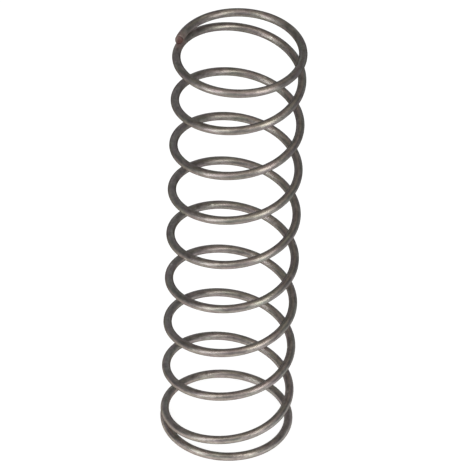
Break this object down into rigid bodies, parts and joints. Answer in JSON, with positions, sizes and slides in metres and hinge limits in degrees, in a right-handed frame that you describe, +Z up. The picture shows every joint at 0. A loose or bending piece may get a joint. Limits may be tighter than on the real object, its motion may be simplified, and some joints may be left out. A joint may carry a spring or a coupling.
{
  "type": "compression spring",
  "caption": "Small right-hand wound compression spring of round wire, with closed unground ends, that pushes two seats apart.",
  "frame": {"origin": "on the spring's axis, at the plane the lower end coil rests on", "axes": "+Z up along the spring's axis, -X towards the lower end of the wire"},
  "size_m": [0.0158, 0.0158, 0.0573],
  "materials": {
    "spring_wire": "drawn wire, dull, with a light brown tarnish"
  },
  "bodies": {
    "root": {"spring": "spring_wire"}
  },
  "joints": []
}
